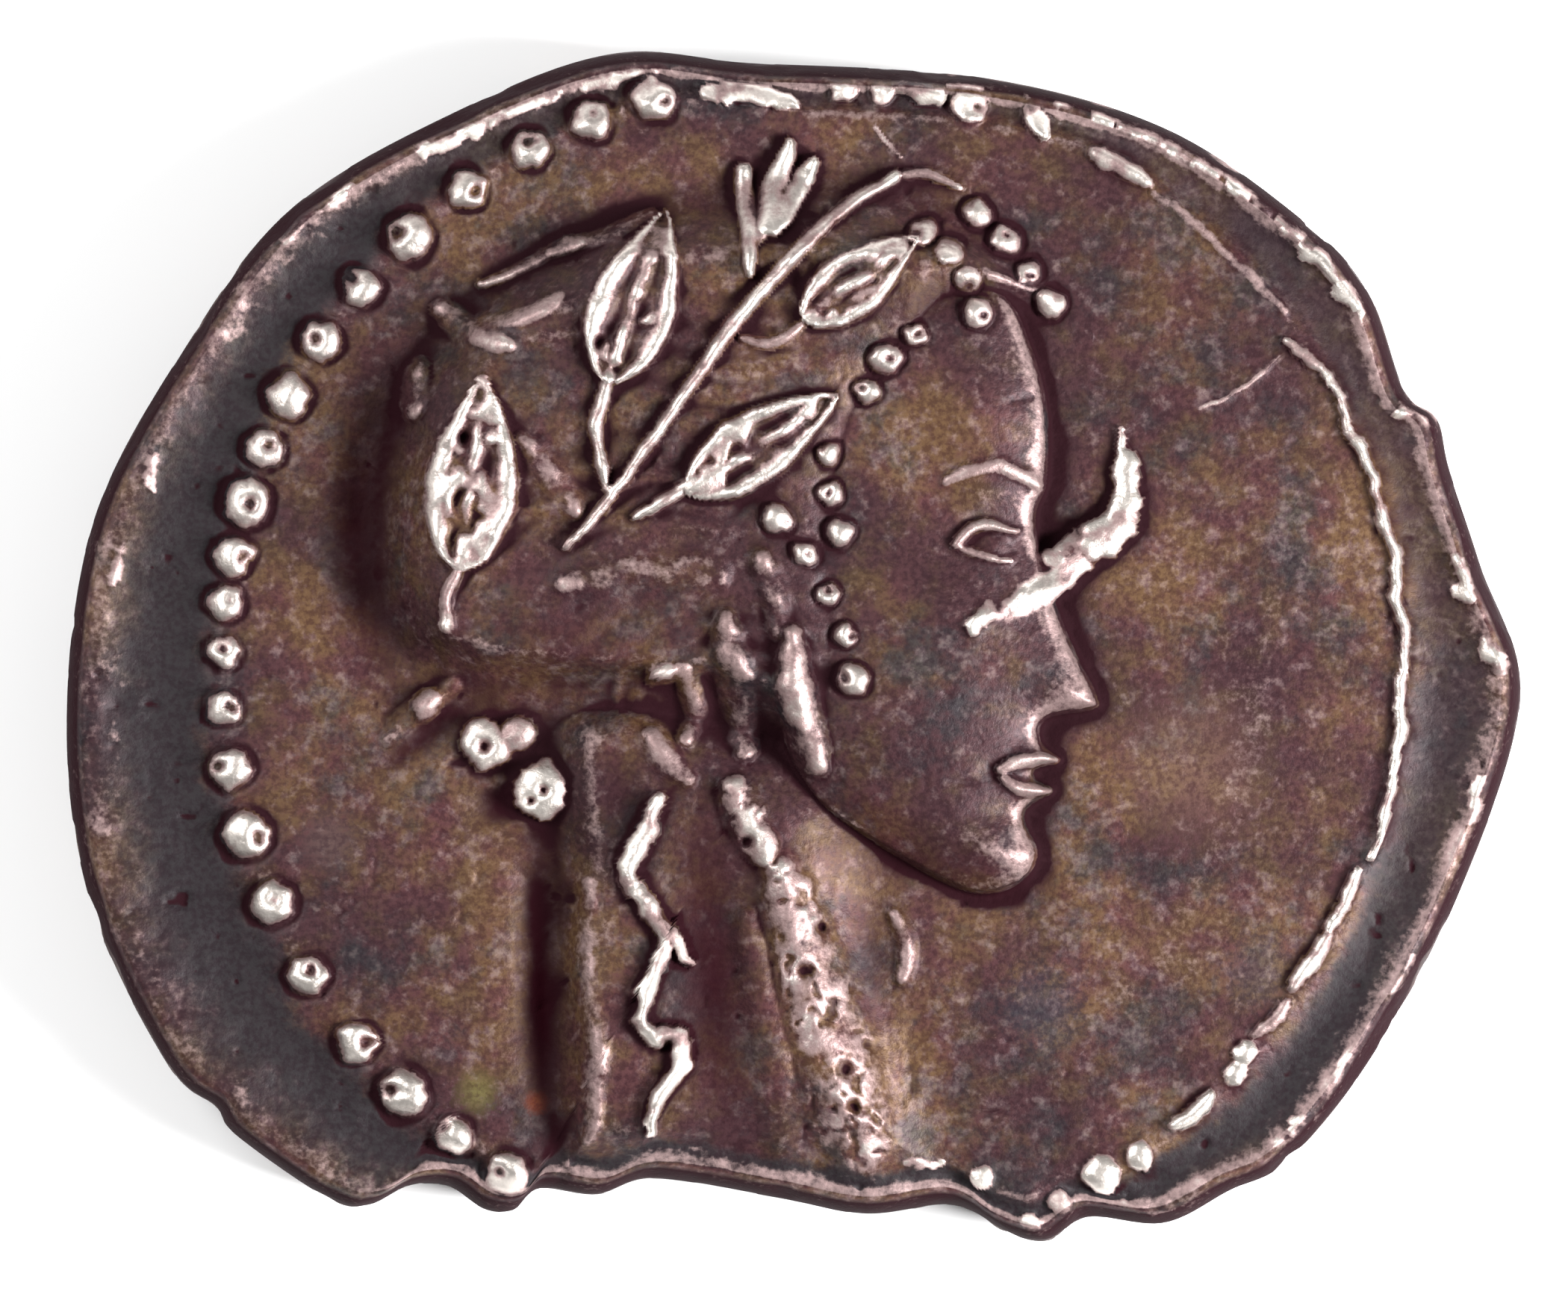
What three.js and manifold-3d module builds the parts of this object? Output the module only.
// A hand-struck silver coin of tetradrachm size, lying flat with its head side up.
// It is one solid: an irregular flan, a border of dots, a wreathed head in profile on its neck, and
// a bunch of grapes in a square punch on the underside. Millimetres, +Z up, +Y towards the crown.
// The origin is the middle of the flan's box, on the surface that the coin lies on.
import * as THREE from "three";
import { mergeVertices } from "three/addons/utils/BufferGeometryUtils.js";
import Module from "manifold-3d";

const wasm = await Module();
wasm.setup();

// The flan: its box, its edge with the slopes in degrees at which that is cut, and the trough that the
// die's rim pressed beside the border
const FLAN_LENGTH = 27;
const FLAN_WIDTH = 22.1;
const EDGE_THICKNESS = 3.25;
const EDGE_ROUND = 0.42;
const EDGE_BENDS = [-90, -40, 0, 40];
const RIM_WIDTH = 0.9;
const TROUGH_DEPTH = 0.22;
const FIELD_DOME = 0.35;

// The border that the head side's die leaves: round dots on the left, worn to a line on the right
const DIE_CENTRE = new THREE.Vector2(0.35, -0.4);
const BORDER_RADIUS = 10.92;
const DOT_RADIUS = 0.43;
const DOT_HEIGHT = 0.34;
const WORN_LINE_WIDTH = 0.32;
const WORN_LINE_HEIGHT = 0.2;

// The figure: twenty modules from its top leaf to the foot of its neck
const FIGURE_HEIGHT = 20;
const FACE_RELIEF = 0.95;
const HAIR_RELIEF = 1.12;
const NECK_RELIEF = 0.7;
const OUTLINE_RELIEF = 0.38;
const ROUNDING = 1.7;
const LEAF_RELIEF = 0.34;
const PEARL_RADIUS = 0.31;

// The punch on the underside, and the bunch of grapes that stands in it
const PUNCH_SIDE = 13.5;
const PUNCH_DEPTH = 0.55;
const PUNCH_SLOPE = 0.5;
const GRAPE_RADIUS = 1;
const GRAPE_ROWS = 4;
const GRAPE_PITCH = 1.8 * GRAPE_RADIUS;
const GRAPE_ROW_PITCH = 0.87 * GRAPE_PITCH;
const GRAPE_RELIEF = 0.42;
const VINE_WIDTH = 0.6;
const VINE_STEPS = 6;

// How deep in the flan the raised parts are rooted, and how finely the surfaces are cut
const ROOT = 0.5;
const FACE_STEP = 0.8;
const HAIR_STEP = 1.2;
const OUTLINE_POINTS = 80;
const PROFILE_POINTS = 84;
const HAIR_POINTS = 36;
const NECK_POINTS = 22;
const STRAND_STEPS = 4;
const LEAF_STEPS = 5;
const WAVY_STEPS = 7;
const DOT_SIDES = 6;
const PEARL_SIDES = 5;

const MODULE = FIGURE_HEIGHT / 20;

// The flan's outline, in shares of half its length and half its width, counter-clockwise from its right
// point. It is round on the left, cracked at the upper right, and torn in small tongues along the foot.
const FLAN_OUTLINE = [
  [1.0, -0.09], [0.945, 0.14], [0.902, 0.3], [0.885, 0.385], [0.84, 0.435], [0.79, 0.6],
  [0.7, 0.72], [0.51, 0.875], [0.26, 0.96], [-0.06, 0.985], [-0.25, 1.0], [-0.46, 0.905],
  [-0.69, 0.74], [-0.84, 0.5], [-0.965, 0.205], [-1.0, -0.14], [-0.965, -0.44], [-0.86, -0.705],
  [-0.795, -0.775], [-0.765, -0.825], [-0.64, -0.93], [-0.585, -0.94], [-0.53, -0.908],
  [-0.475, -0.908], [-0.425, -0.947], [-0.385, -0.948], [-0.35, -0.912], [-0.27, -0.922],
  [-0.19, -0.895], [-0.02, -0.928], [0.1, -0.955], [0.22, -0.94], [0.29, -0.985], [0.35, -1.0],
  [0.405, -0.96], [0.51, -0.97], [0.6, -0.915], [0.68, -0.865], [0.79, -0.7], [0.91, -0.43],
];

// The dots of the border, in degrees round the die's centre. They were cut by hand: from half a drift's
// length before driftFrom, their even pitch drifts forward and back.
const DOTS = { first: 105.7, pitch: 6.34, count: 22, drift: 4, driftFrom: 173, driftLength: 105 };
const LATE_DOTS = [87, 83, 74.5, -42.5, -49.5, -57, -64];
const WORN_ARCS = [
  [101, 92], [81.5, 78], [69, 66.5], [61, 56.5], [55, 33], [30, -19], [-21, -27], [-29, -34.5], [-36, -41],
];

// Sections of raised parts, each from its left to its right edge: across in half widths, up in heights.
const ROUND_SECTION = [[-1, 0], [-0.55, 0.85], [0.55, 0.85], [1, 0]];
const LEAF_SECTION = [[-1, 0], [-0.8, 1], [-0.45, 0.3], [0, 0.85], [0.45, 0.3], [0.8, 1], [1, 0]];

// The leaves of the wreath, in modules: where each starts and ends, and its greatest width.
const LEAVES = [
  { from: [-6.15, 1.35], to: [-5.7, 5.05], width: 1.85 },
  { from: [-3.45, 4.85], to: [-2.35, 8.05], width: 1.75 },
  { from: [0.15, 6.0], to: [2.3, 7.55], width: 1.35 },
  { from: [-2.0, 2.85], to: [0.85, 4.65], width: 1.45 },
];

// Stems, locks and folds, in modules: the line that each follows, its width and its height.
const STRANDS = {
  stem: { line: [[-4.8, 1.2], [-3.3, 2.8], [-1.05, 6.0], [1.9, 8.7]], width: 0.36, height: 0.3 },
  twig: { line: [[2.05, 8.72], [2.5, 8.72], [3.1, 8.5]], width: 0.26, height: 0.2 },
  backStalk: { line: [[-6.45, 0.35], [-6.4, 0.9], [-6.15, 1.5]], width: 0.34, height: 0.24 },
  crownStalk: { line: [[-3.45, 2.9], [-3.65, 4], [-3.4, 5.0]], width: 0.34, height: 0.24 },
  frontStalk: { line: [[-0.95, 5.7], [-0.4, 5.6], [0.3, 6.05]], width: 0.26, height: 0.16 },
  lowStalk: { line: [[-2.9, 2.35], [-2.3, 2.75], [-1.8, 3.05]], width: 0.34, height: 0.24 },
  leftPetal: { line: [[-0.82, 6.85], [-0.85, 7.9], [-0.95, 8.8]], width: 0.46, height: 0.28 },
  middlePetal: { line: [[-0.5, 7.8], [-0.35, 8.5], [-0.05, 9.3]], width: 0.6, height: 0.32 },
  rightPetal: { line: [[-0.4, 7.8], [-0.05, 8.35], [0.35, 8.95]], width: 0.6, height: 0.3 },
  crownFold: { line: [[-5.8, 6.7], [-4.2, 7.4], [-2.6, 8.0]], width: 0.44, height: 0.18 },
  upperLock: { line: [[-6.5, 6.25], [-6.1, 5.9], [-5.3, 5.55]], width: 0.8, height: 0.18 },
  middleLock: { line: [[-6.9, 5.2], [-7.0, 4.8], [-7.05, 4.3]], width: 0.75, height: 0.18 },
  roll: { line: [[-4.2, 1.15], [-2.9, 1.4], [-1.4, 1.35]], width: 1.2, height: 0.18 },
  innerLobe: { line: [[-1.25, 0.5], [-1.1, -0.6], [-0.9, -1.9]], width: 0.95, height: 0.26 },
  outerLobe: { line: [[-0.05, 0.2], [0.05, -0.9], [0.4, -2.15]], width: 0.95, height: 0.34 },
  napeLock: { line: [[-2.6, -1.6], [-2.4, -2.0], [-1.95, -2.45]], width: 0.8, height: 0.22 },
  throatLock: { line: [[-1.1, -2.6], [-0.9, -3.1], [-0.5, -3.85]], width: 0.9, height: 0.3 },
  ribbon: { line: [[-7.6, -2.05], [-6.9, -1.3], [-6.4, -0.95]], width: 0.5, height: 0.16 },
  neckBack: { line: [[-3.9, -4.4], [-4.0, -6], [-3.85, -9.1]], width: 0.8, height: 0.2 },
  neckFront: { line: [[-0.1, -4.3], [0.3, -6], [1.2, -9.3]], width: 2, height: 0.36 },
};
// The two parts of the wavy lock that hangs down the neck
const WAVY_LOCK = [
  [[-2.5, -2.8], [-2.7, -3.4], [-3.12, -4.2], [-2.35, -5.25], [-1.98, -5.8]],
  [[-2.4, -5.3], [-2.5, -6.0], [-2.82, -6.75], [-2.2, -7.15], [-2.02, -7.6], [-2.4, -8.2], [-2.62, -9.0]],
];
const WAVY_LOCK_WIDTH = 0.5;
const WAVY_LOCK_HEIGHT = 0.34;
// The knots of the tie at the nape: place and radius
const TIE_KNOTS = [[-5.65, -1.8, 0.52], [-4.6, -2.65, 0.62], [-6.75, -1.05, 0.34]];

// The outlines of the hair and of the neck, in modules, and the head's profile, in its own frame: forward
// and up, in head heights. The profile follows the sculptor's rule of quarters.
const HAIR_OUTLINE = [
  [4.9, 6.3], [4.4, 7.4], [3.3, 8.3], [1.2, 8.85], [-1, 8.8], [-3.2, 8.15], [-5.6, 6.95], [-7.1, 5.4],
  [-7.75, 3.2], [-7.75, 1.0], [-7.1, -0.7], [-6.0, -1.6], [-4.4, -1.9], [-2.4, -2.2], [-0.4, -2.2],
  [0.9, -1.6], [1.4, 0], [1.1, 2.2], [1.5, 4.3], [2.8, 5.7],
];
const NECK_OUTLINE = [
  [-4.3, -1], [-4.4, -5], [-4.45, -9.2], [-3.6, -9.8], [-0.5, -10.0], [2.2, -10.1], [2.9, -9.6],
  [2.4, -7.4], [2.0, -5], [1.9, -2.5], [0, -1],
];
const PROFILE = [
  [0.31, 0.86], [0.36, 0.78], [0.39, 0.69], [0.396, 0.59], [0.385, 0.525], [0.432, 0.395],
  [0.486, 0.295], [0.482, 0.268], [0.42, 0.25], [0.414, 0.222], [0.442, 0.195], [0.408, 0.174],
  [0.434, 0.15], [0.398, 0.115], [0.42, 0.06], [0.395, 0.012], [0.32, -0.005], [0.19, 0.05],
  [0.08, 0.12], [0.02, 0.25], [0, 0.5], [0.1, 0.8], [0.2, 0.87],
];

// The curls that frame the face, in modules: rows of round pearls.
const PEARL_ROWS = [
  { line: [[3.4, 8.0], [4.1, 7.2], [4.75, 6.35]], count: 4 },
  { line: [[2.4, 7.65], [3.05, 7.05], [3.4, 6.15]], count: 4 },
  { line: [[2.25, 5.75], [1.7, 5.35], [1.35, 4.7]], count: 3 },
  { line: [[0.65, 3.55], [0.65, 2.85], [0.85, 2.1]], count: 3 },
  { line: [[-0.3, 2.35], [0.7, 0.95], [1.1, -0.6]], count: 5 },
];

// A scar across the head, and the crack line in the field beyond it, in modules.
const SCARS = [
  { line: [[3.25, 0.4], [4.4, 0.95], [5.0, 1.5], [5.8, 2.1]], width: 0.8, height: 0.22 },
  { line: [[5.5, 1.8], [6.05, 2.4], [6.15, 3.2], [6.05, 4.0]], width: 0.7, height: 0.22 },
  { line: [[9.0, 5.3], [8.3, 4.8], [7.5, 4.4]], width: 0.2, height: 0.1 },
];

const at = ([x, y]) => new THREE.Vector2(x * MODULE, y * MODULE);

// The head leans a little forward about its ear. Its own frame runs forward and up, in head heights.
const EAR = at([-0.55, 1.2]);
const HEAD_HEIGHT = 13 * MODULE;
const HEAD_LEAN = THREE.MathUtils.degToRad(4);
const EAR_UP = 0.42;
function face(forward, up) {
  const reach = new THREE.Vector2(forward, up - EAR_UP).multiplyScalar(HEAD_HEIGHT);
  return reach.rotateAround(new THREE.Vector2(), -HEAD_LEAN).add(EAR);
}

// A closed mesh as a solid that can be joined and cut, and back again.
function solidOf(geometry) {
  const bare = geometry.index ? geometry.toNonIndexed() : geometry.clone();
  bare.deleteAttribute("normal");
  bare.deleteAttribute("uv");
  const merged = mergeVertices(bare, 1e-4);
  return new wasm.Manifold(
    new wasm.Mesh({
      numProp: 3,
      vertProperties: merged.attributes.position.array,
      triVerts: new Uint32Array(merged.index.array),
    }),
  );
}

function geometryOf(solid) {
  const mesh = solid.getMesh();
  const corners = new Float32Array(mesh.numVert * 3);
  for (let i = 0; i < mesh.numVert; i++) {
    corners.set(mesh.vertProperties.subarray(i * mesh.numProp, i * mesh.numProp + 3), i * 3);
  }
  const geometry = new THREE.BufferGeometry();
  geometry.setAttribute("position", new THREE.BufferAttribute(corners, 3));
  geometry.setIndex(new THREE.BufferAttribute(mesh.triVerts, 1));
  geometry.computeVertexNormals();
  return geometry;
}

const joined = (solids) => solids.reduce((whole, next) => whole.add(next));

// A closed skin over rings of points. Each ring turns counter-clockwise about the way that they go.
function skinOver(rings) {
  const count = rings[0].length;
  const points = rings.flat();
  const faces = [];
  for (let start = 0; start + count < points.length; start += count) {
    for (let i = 0; i < count; i++) {
      const a = start + i;
      const b = start + ((i + 1) % count);
      faces.push(a, b, b + count, a, b + count, a + count);
    }
  }
  const last = points.length - count;
  for (const start of [0, last]) {
    const middle = new THREE.Vector3();
    for (let i = 0; i < count; i++) middle.addScaledVector(points[start + i], 1 / count);
    points.push(middle);
    for (let i = 0; i < count; i++) {
      const a = start + i;
      const b = start + ((i + 1) % count);
      faces.push(points.length - 1, start === 0 ? b : a, start === 0 ? a : b);
    }
  }
  const geometry = new THREE.BufferGeometry().setFromPoints(points);
  geometry.setIndex(faces);
  return geometry;
}

// A smooth closed loop through a few corners, cut into even steps.
function smoothLoop(corners, count) {
  const curve = new THREE.CatmullRomCurve3(
    corners.map((p) => new THREE.Vector3(p.x, p.y, 0)), true, "centripetal",
  );
  return curve.getSpacedPoints(count).slice(0, count).map((p) => new THREE.Vector2(p.x, p.y));
}

function sidesOf(loop) {
  return loop.map((a, i) => [a, loop[(i + 1) % loop.length]]);
}

function isInside(point, loop) {
  const crossings = sidesOf(loop).filter(([a, b]) => {
    if (a.y > point.y === b.y > point.y) return false;
    return point.x < a.x + ((point.y - a.y) * (b.x - a.x)) / (b.y - a.y);
  });
  return crossings.length % 2 === 1;
}

function distanceTo(point, loop) {
  const gaps = sidesOf(loop).map(([a, b]) => {
    const side = b.clone().sub(a);
    const share = THREE.MathUtils.clamp(point.clone().sub(a).dot(side) / side.lengthSq(), 0, 1);
    return side.multiplyScalar(share).add(a).distanceTo(point);
  });
  return Math.min(...gaps);
}

// The flan's loop, set to fill its box exactly.
function flanOutline() {
  const size = new THREE.Vector2(FLAN_LENGTH, FLAN_WIDTH);
  const corners = FLAN_OUTLINE.map(([x, y]) => new THREE.Vector2(x, y).multiply(size).divideScalar(2));
  const loop = smoothLoop(corners, OUTLINE_POINTS);
  const box = new THREE.Box2().setFromPoints(loop);
  const middle = box.getCenter(new THREE.Vector2());
  const fit = size.clone().divide(box.getSize(new THREE.Vector2()));
  return loop.map((p) => p.clone().sub(middle).multiply(fit));
}

const flanLoop = flanOutline();

const onDie = (radius, angle) =>
  new THREE.Vector2(radius * Math.cos(angle), radius * Math.sin(angle)).add(DIE_CENTRE);
const dieAngle = (point) => point.clone().sub(DIE_CENTRE).angle();

// How far the flan reaches from the die's centre in a direction, and the border's radius there.
function flanReach(angle) {
  const turned = ([a, b]) => [dieAngle(a) - angle, dieAngle(b) - angle].map((t) =>
    THREE.MathUtils.euclideanModulo(t + Math.PI, 2 * Math.PI) - Math.PI);
  const side = sidesOf(flanLoop).find((ends) => {
    const [s, t] = turned(ends);
    return s <= 0 && t > 0 && t - s < 1;
  });
  const [s, t] = turned(side);
  return THREE.MathUtils.lerp(
    side[0].distanceTo(DIE_CENTRE), side[1].distanceTo(DIE_CENTRE), -s / (t - s),
  );
}
const borderRadius = (reach) => Math.min(BORDER_RADIUS, reach - RIM_WIDTH);

// The head side without its figure: a slight dome within the border, and a trough outside it.
function fieldHeight(point, reach = flanReach(dieAngle(point))) {
  const out = point.distanceTo(DIE_CENTRE);
  const border = borderRadius(reach);
  if (out < border) return EDGE_THICKNESS + FIELD_DOME * (1 - (out / border) ** 2);
  const across = (out - border) / (reach - border);
  return EDGE_THICKNESS - TROUGH_DEPTH * Math.max(0, Math.sin(Math.PI * Math.min(1, across / 0.8)));
}

// The flan's skin: the flat underside, the rounded edge, the rim and trough, and the field.
function flan() {
  const ringAt = (radius, height) =>
    flanLoop.map((p) => {
      const reach = p.distanceTo(DIE_CENTRE);
      const q = onDie(radius(reach), dieAngle(p));
      return new THREE.Vector3(q.x, q.y, height ?? fieldHeight(q, reach));
    });
  const edge = EDGE_BENDS.map((degrees) => {
    const bend = THREE.MathUtils.degToRad(degrees);
    const inset = EDGE_ROUND * (1 - Math.cos(bend));
    return ringAt((reach) => reach - inset, (EDGE_THICKNESS / 2) * (1 + Math.sin(bend)));
  });
  const rim = [1, 0.5, 0].map((share) =>
    ringAt((reach) => THREE.MathUtils.lerp(borderRadius(reach), reach - EDGE_ROUND, share)),
  );
  const field = ringAt((reach) => 0.6 * borderRadius(reach));
  return solidOf(skinOver([...edge, ...rim, field]));
}

const faceLoop = () => smoothLoop(PROFILE.map((p) => face(...p)), PROFILE_POINTS);
const hairLoop = () => smoothLoop(HAIR_OUTLINE.map(at), HAIR_POINTS);
const neckLoop = () => smoothLoop(NECK_OUTLINE.map(at), NECK_POINTS);

// Swellings and hollows of the face: cheek, forehead, eye socket, nose, its wing, corner of the mouth,
// the hollow over the chin, and the chin.
const FACE_FORMS = [
  { place: [0.2, 0.29], reach: [0.11, 0.12], height: 0.2 },
  { place: [0.31, 0.68], reach: [0.09, 0.09], height: 0.1 },
  { place: [0.34, 0.505], reach: [0.055, 0.036], height: -0.3 },
  { place: [0.42, 0.37], reach: [0.03, 0.09], height: 0.18 },
  { place: [0.418, 0.283], reach: [0.028, 0.022], height: 0.24 },
  { place: [0.345, 0.168], reach: [0.022, 0.03], height: -0.16 },
  { place: [0.365, 0.112], reach: [0.05, 0.016], height: -0.14 },
  { place: [0.37, 0.06], reach: [0.05, 0.045], height: 0.14 },
];

function faceForms(point) {
  return FACE_FORMS.reduce((sum, { place, reach, height }) => {
    const away = point.clone().sub(face(...place)).divideScalar(HEAD_HEIGHT);
    return sum + height * Math.exp(-((away.x / reach[0]) ** 2) - (away.y / reach[1]) ** 2);
  }, 0);
}

// A mass of the figure: a loop, and the height of its top, which rounds over from its outline.
function mass(loop, relief, step, forms = () => 0) {
  const height = (point) => {
    const inward = Math.min(1, distanceTo(point, loop) / (ROUNDING * MODULE));
    const rise = OUTLINE_RELIEF + (relief - OUTLINE_RELIEF) * Math.sqrt(inward * (2 - inward));
    return fieldHeight(point) + (rise + forms(point) * inward) * MODULE;
  };
  return { loop, height, step: step * MODULE };
}

const MASSES = [
  mass(neckLoop(), NECK_RELIEF, HAIR_STEP),
  mass(hairLoop(), HAIR_RELIEF, HAIR_STEP),
  mass(faceLoop(), FACE_RELIEF, FACE_STEP, faceForms),
];

// What a small form stands on: the highest mass at its place, or the bare field.
function surfaceAt(point) {
  const masses = MASSES.filter(({ loop }) => isInside(point, loop));
  return Math.max(fieldHeight(point), ...masses.map(({ height }) => height(point)));
}

function wallOver(loop) {
  const shape = new THREE.Shape(loop);
  return solidOf(new THREE.ExtrudeGeometry(shape, { depth: 4 * EDGE_THICKNESS, bevelEnabled: false }));
}

function massSolid({ loop, height, step }) {
  const reach = new THREE.Box2().setFromPoints(loop).expandByScalar(step);
  const size = reach.getSize(new THREE.Vector2());
  const middle = reach.getCenter(new THREE.Vector2());
  const slab = new THREE.BoxGeometry(
    size.x, size.y, 1, Math.ceil(size.x / step), Math.ceil(size.y / step), 1,
  );
  slab.translate(middle.x, middle.y, 0);
  const place = slab.attributes.position;
  for (let i = 0; i < place.count; i++) {
    const point = new THREE.Vector2(place.getX(i), place.getY(i));
    place.setZ(i, place.getZ(i) > 0 ? height(point) : EDGE_THICKNESS - ROOT);
  }
  return solidOf(slab).intersect(wallOver(loop));
}

// A raised part that follows a line over the surface. Its width and height vary along the line.
function ridge(line, width, height, section = ROUND_SECTION, steps = STRAND_STEPS) {
  const curve = new THREE.SplineCurve(line);
  const rings = [];
  for (let i = 0; i <= steps; i++) {
    const along = i / steps;
    const middle = curve.getPoint(along);
    const right = curve.getTangent(along).rotateAround(new THREE.Vector2(), -Math.PI / 2);
    const raised = (across, up) => {
      const p = middle.clone().addScaledVector(right, (across * width(along)) / 2);
      return new THREE.Vector3(p.x, p.y, surfaceAt(p) + up);
    };
    const top = section.map(([across, up]) => raised(across, up * height(along)));
    const foot = [top.at(-1), top[0]].map((p) => p.clone().setZ(EDGE_THICKNESS - ROOT));
    rings.push([...top, ...foot]);
  }
  return solidOf(skinOver(rings));
}

const tapered = (full, ends) => (along) => full * (ends + (1 - ends) * Math.sin(Math.PI * along));
const figureRidge = ({ line, width, height }, ends = 0.45, steps = STRAND_STEPS) =>
  ridge(line.map(at), tapered(width * MODULE, ends), tapered(height * MODULE, ends), ROUND_SECTION, steps);

function leaf({ from, to, width }) {
  const almond = tapered(width * MODULE, 0.12);
  return ridge([from, to].map(at), almond, tapered(LEAF_RELIEF * MODULE, 0.5), LEAF_SECTION, LEAF_STEPS);
}

// A round pearl or dot: half a ball on a straight foot that is rooted in the flan.
function dome(middle, radius, height, sides = PEARL_SIDES) {
  const base = surfaceAt(middle);
  const profile = [
    [0, EDGE_THICKNESS - ROOT], [radius, EDGE_THICKNESS - ROOT], [radius, base],
    [radius * Math.SQRT1_2, base + height * Math.SQRT1_2], [0, base + height],
  ];
  const pin = new THREE.LatheGeometry(profile.map(([x, y]) => new THREE.Vector2(x, y)), sides);
  return solidOf(pin.rotateX(Math.PI / 2).translate(middle.x, middle.y, 0));
}

function pearlRow({ line, count }) {
  const curve = new THREE.SplineCurve(line.map(at));
  return Array.from({ length: count }, (_, i) =>
    dome(curve.getPoint(i / (count - 1)), PEARL_RADIUS * MODULE, PEARL_RADIUS * MODULE),
  );
}

function border() {
  const early = Array.from({ length: DOTS.count }, (_, i) => {
    const even = DOTS.first + i * DOTS.pitch;
    const phase = Math.max(-0.5, (even - DOTS.driftFrom) / DOTS.driftLength);
    return even - DOTS.drift * Math.sin(2 * Math.PI * phase);
  });
  const dots = [...early, ...LATE_DOTS].map((degrees) =>
    dome(onDie(BORDER_RADIUS, THREE.MathUtils.degToRad(degrees)), DOT_RADIUS, DOT_HEIGHT, DOT_SIDES),
  );
  const lines = WORN_ARCS.map((ends) => {
    const steps = Math.max(2, Math.ceil(Math.abs(ends[0] - ends[1]) / 7));
    const line = Array.from({ length: steps + 1 }, (_, i) =>
      onDie(BORDER_RADIUS, THREE.MathUtils.degToRad(THREE.MathUtils.lerp(...ends, i / steps))),
    );
    return ridge(line, () => WORN_LINE_WIDTH, () => WORN_LINE_HEIGHT, ROUND_SECTION, steps);
  });
  return [...dots, ...lines];
}

const wavyPart = (line) =>
  figureRidge({ line, width: WAVY_LOCK_WIDTH, height: WAVY_LOCK_HEIGHT }, 0.7, WAVY_STEPS);

function figure() {
  return [
    ...MASSES.map(massSolid),
    ...LEAVES.map(leaf),
    ...Object.values(STRANDS).map((strand) => figureRidge(strand)),
    ...WAVY_LOCK.map(wavyPart),
    ...TIE_KNOTS.map(([x, y, radius]) => dome(at([x, y]), radius * MODULE, radius * MODULE * 0.8)),
    ...PEARL_ROWS.flatMap(pearlRow),
    ...SCARS.map((scar) => figureRidge(scar, 0.4)),
    ...faceDetails(),
  ];
}

// Raised lines of the face, in head heights: the upper lid, the lower lid, the brow and the two lips.
const FACE_LINES = [
  { line: [[0.268, 0.491], [0.3, 0.521], [0.352, 0.516]], width: 0.022, height: 0.018 },
  { line: [[0.272, 0.489], [0.31, 0.475], [0.349, 0.474]], width: 0.016, height: 0.013 },
  { line: [[0.25, 0.582], [0.315, 0.606], [0.385, 0.582]], width: 0.03, height: 0.013 },
  { line: [[0.355, 0.178], [0.385, 0.193], [0.43, 0.194]], width: 0.027, height: 0.018 },
  { line: [[0.36, 0.166], [0.385, 0.152], [0.422, 0.15]], width: 0.026, height: 0.018 },
];
// Its raised rounds: the eyeball and the wing of the nose
const FACE_ROUNDS = [
  { place: [0.331, 0.499], radius: 0.025, height: 0.02 },
  { place: [0.424, 0.274], radius: 0.022, height: 0.018 },
];

function faceDetails() {
  const lines = FACE_LINES.map(({ line, width, height }) =>
    ridge(
      line.map((p) => face(...p)), tapered(width * HEAD_HEIGHT, 0.35), tapered(height * HEAD_HEIGHT, 0.3),
    ),
  );
  const rounds = FACE_ROUNDS.map(({ place, radius, height }) =>
    dome(face(...place), radius * HEAD_HEIGHT, height * HEAD_HEIGHT),
  );
  return [...lines, ...rounds];
}

// The punch's square hollow with sloping walls, open below.
function hollow() {
  const toCorner = Math.SQRT1_2;
  const walls = new THREE.CylinderGeometry(
    (PUNCH_SIDE - 2 * PUNCH_SLOPE) * toCorner, PUNCH_SIDE * toCorner, PUNCH_DEPTH, 4, 1,
  );
  walls.rotateY(Math.PI / 4).rotateX(Math.PI / 2).translate(0, 0, PUNCH_DEPTH / 2);
  const mouth = new THREE.BoxGeometry(PUNCH_SIDE, PUNCH_SIDE, PUNCH_DEPTH);
  mouth.translate(0, 0, -PUNCH_DEPTH / 2);
  return solidOf(walls).add(solidOf(mouth));
}

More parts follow.
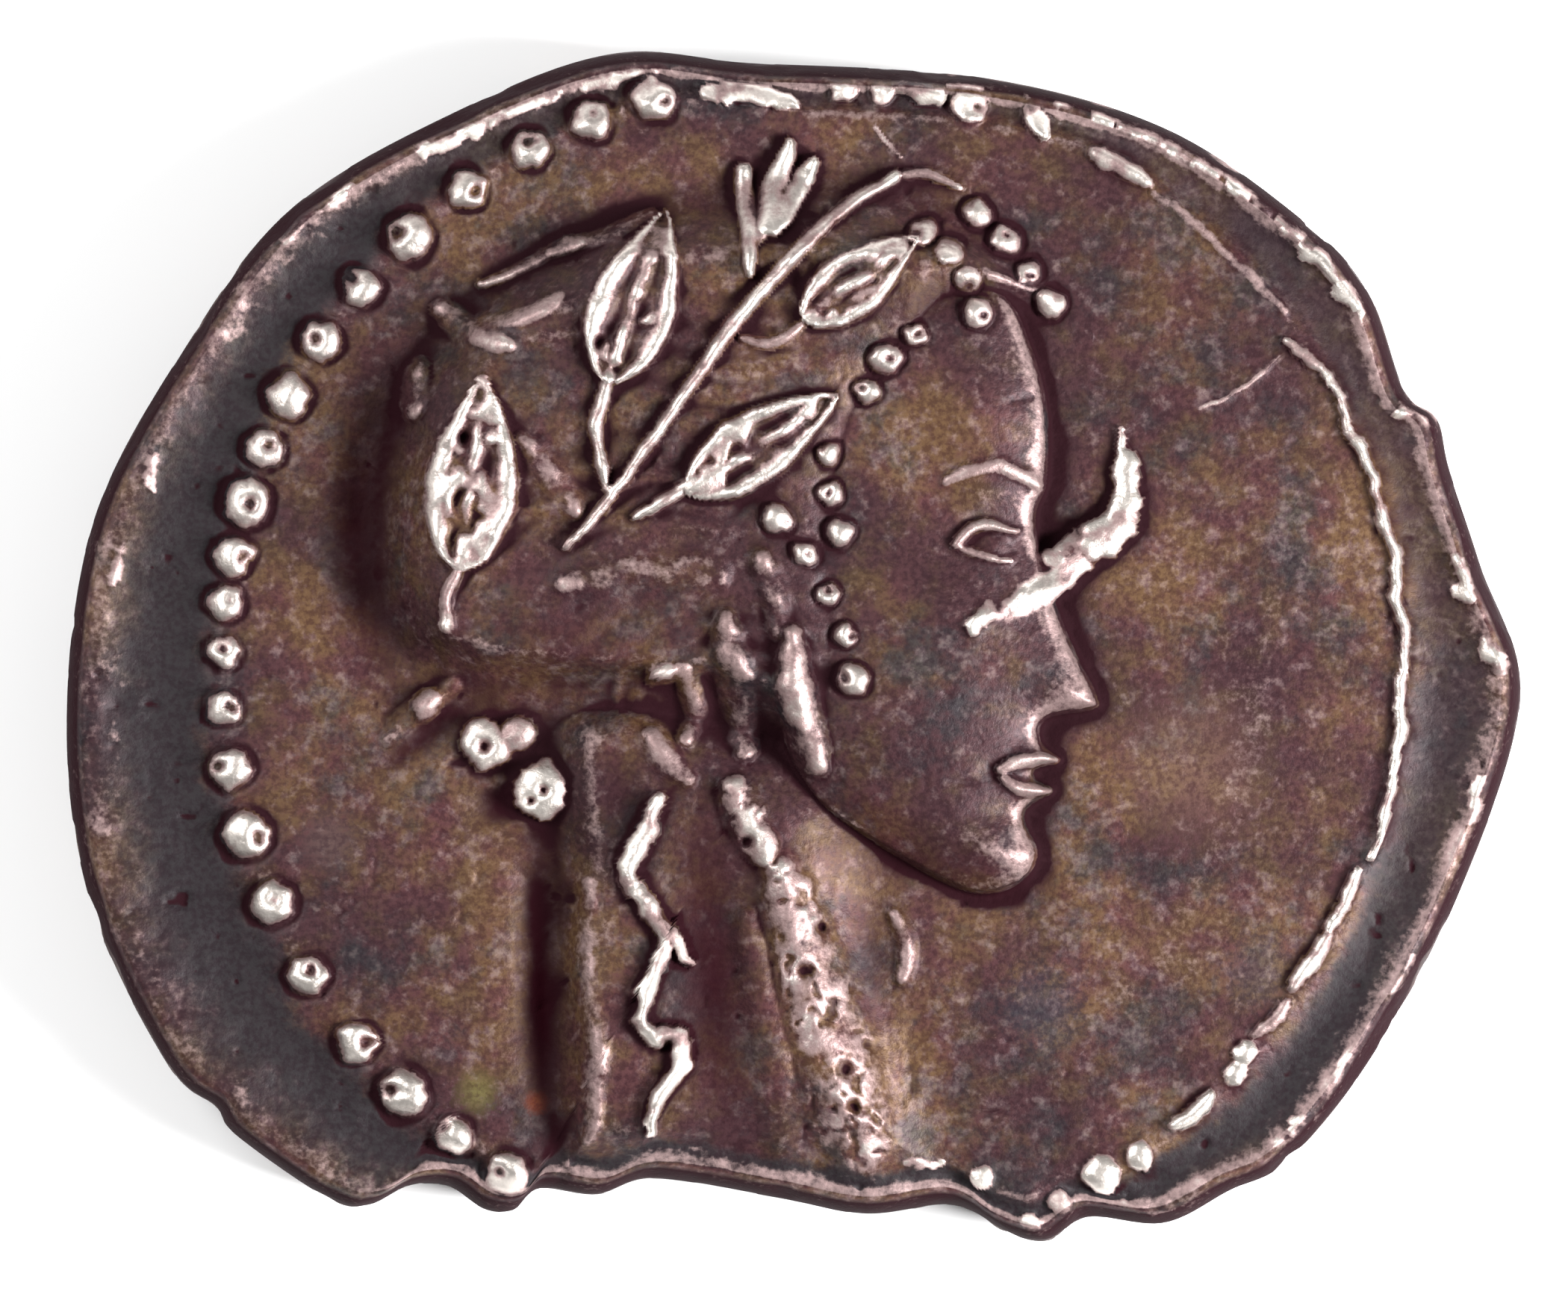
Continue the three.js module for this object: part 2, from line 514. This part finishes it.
// Rows of grapes, each row one shorter than the row above it.
const BUNCH_TOP = ((GRAPE_ROWS - 1) * GRAPE_ROW_PITCH) / 2;
function grapes() {
  return Array.from({ length: GRAPE_ROWS }, (_, row) =>
    Array.from({ length: GRAPE_ROWS - row }, (_, i) => {
      const grape = new THREE.SphereGeometry(GRAPE_RADIUS, DOT_SIDES, 4).rotateX(Math.PI / 2);
      grape.scale(1, 1, GRAPE_RELIEF / GRAPE_RADIUS);
      const across = (i - (GRAPE_ROWS - row - 1) / 2) * GRAPE_PITCH;
      grape.translate(across, BUNCH_TOP - row * GRAPE_ROW_PITCH - 0.4 * GRAPE_PITCH, PUNCH_DEPTH);
      return solidOf(grape);
    }),
  ).flat();
}

// The stalk over the bunch, and a tendril that curls down on each side of it.
function vineLines() {
  const reach = PUNCH_SIDE / 2 - PUNCH_SLOPE;
  const lift = BUNCH_TOP + 0.2 * GRAPE_PITCH;
  const tendril = (side) => [
    [0, lift + 0.4], [side * 0.4 * reach, lift + 0.9], [side * 0.7 * reach, lift + 0.1],
    [side * 0.55 * reach, lift - 0.9],
  ];
  const stalk = [[0, lift], [0.03 * reach, (lift + reach) / 2], [-0.05 * reach, 0.97 * reach]];
  return [stalk, tendril(1), tendril(-1)];
}

function vine(line) {
  const curve = new THREE.SplineCurve(line.map(([x, y]) => new THREE.Vector2(x, y)));
  const crest = -0.6 * GRAPE_RELIEF;
  const rings = Array.from({ length: VINE_STEPS + 1 }, (_, i) => {
    const middle = curve.getPoint(i / VINE_STEPS);
    const right = curve.getTangent(i / VINE_STEPS).rotateAround(new THREE.Vector2(), -Math.PI / 2);
    return [[-1, ROOT], [1, ROOT], [0.5, crest], [-0.5, crest]].map(([across, up]) => {
      const p = middle.clone().addScaledVector(right, (across * VINE_WIDTH) / 2);
      return new THREE.Vector3(p.x, p.y, PUNCH_DEPTH + up);
    });
  });
  return solidOf(skinOver(rings));
}

// The grapes, their stalk and two tendrils are left standing in the punch, all lower than the flat rim
// that the coin lies on.
const punch = () => hollow().subtract(joined([...grapes(), ...vineLines().map(vine)]));

// What falls beyond the flan isn't struck, so the raised parts end at the flan's edge.
function coin() {
  const struckLoop = flanLoop.map((p) => onDie(p.distanceTo(DIE_CENTRE) - EDGE_ROUND / 2, dieAngle(p)));
  const raised = joined([...figure(), ...border()]).intersect(wallOver(struckLoop));
  return flan().add(raised).subtract(punch());
}

const tonedSilver = new THREE.MeshStandardMaterial({ color: 0x6b5551, roughness: 0.45, metalness: 0.85 });

const model = new THREE.Group();
const struck = new THREE.Mesh(geometryOf(coin()), tonedSilver);
struck.name = "coin";
model.add(struck);

export default model;
